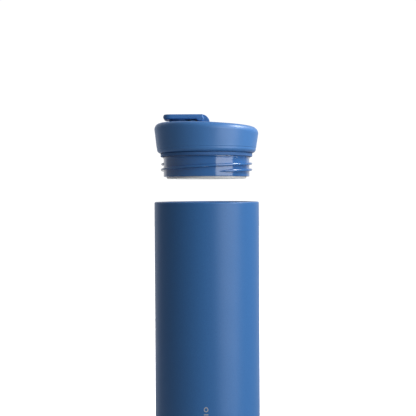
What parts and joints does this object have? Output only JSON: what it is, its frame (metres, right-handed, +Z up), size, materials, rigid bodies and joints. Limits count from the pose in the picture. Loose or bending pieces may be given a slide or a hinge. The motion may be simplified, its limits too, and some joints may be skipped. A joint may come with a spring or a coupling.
{
  "type": "insulated water bottle",
  "caption": "Slim insulated bottle with a straight powder-coated wall and a screw lid, shown lifted, that has a flip drinking flap.",
  "frame": {"origin": "centre of the base, on the surface that the bottle stands on", "axes": "+Z up along the bottle's axis, -X towards the drinking side of the lid, -Y towards the viewer"},
  "size_m": [0.073, 0.073, 0.2605],
  "materials": {
    "blue_coat": "fine matte powder coat",
    "blue_satin": "satin moulded",
    "blue_gloss": "polished moulded",
    "steel": "brushed",
    "copper": "bright foil",
    "grey_silicone": "matte",
    "blue_silicone": "matte",
    "pale_plastic": "smooth moulded",
    "foam": "open cell",
    "getter_metal": "sintered"
  },
  "bodies": {
    "bottle": {"outer_shell": "blue_coat", "inner_liner": "steel", "base_plate": "steel", "base_foot": "grey_silicone", "vacuum_seal": "steel", "getter": "getter_metal", "getter_holder": "steel", "copper_foil": "copper"},
    "lid_seal": {"rim_gasket": "blue_silicone"},
    "lid": {"lid_collar": "blue_satin", "lid_plug": "blue_gloss", "lid_liner": "pale_plastic", "liner_oring": "grey_silicone", "lid_foam": "foam", "spout_tube": "blue_gloss", "spout_seal_ring": "grey_silicone", "vent_tube": "blue_gloss", "vent_valve": "grey_silicone", "hinge_pin": "steel", "detent_spring": "steel"},
    "flap": {"flap": "blue_satin", "stopper": "blue_silicone"}
  },
  "joints": [
    {"name": "lid_lift", "type": "slide", "parent": "bottle", "child": "lid_seal", "axis": [0, 0, 1], "range_m": [-0.0336, 0]},
    {"name": "lid_turn", "type": "hinge", "parent": "lid_seal", "child": "lid", "pos_m": [0, 0, 0.2339], "axis": [0, 0, 1], "range_deg": [-1440, 0]},
    {"name": "flap_hinge", "type": "hinge", "parent": "lid", "child": "flap", "pos_m": [-0.0032, 0, 0.2573], "axis": [0, 1, 0], "range_deg": [0, 110]}
  ],
  "couplings": [
    {"joint": "lid_lift", "follows": "lid_turn", "m_per_rad": 0.0013369}
  ]
}
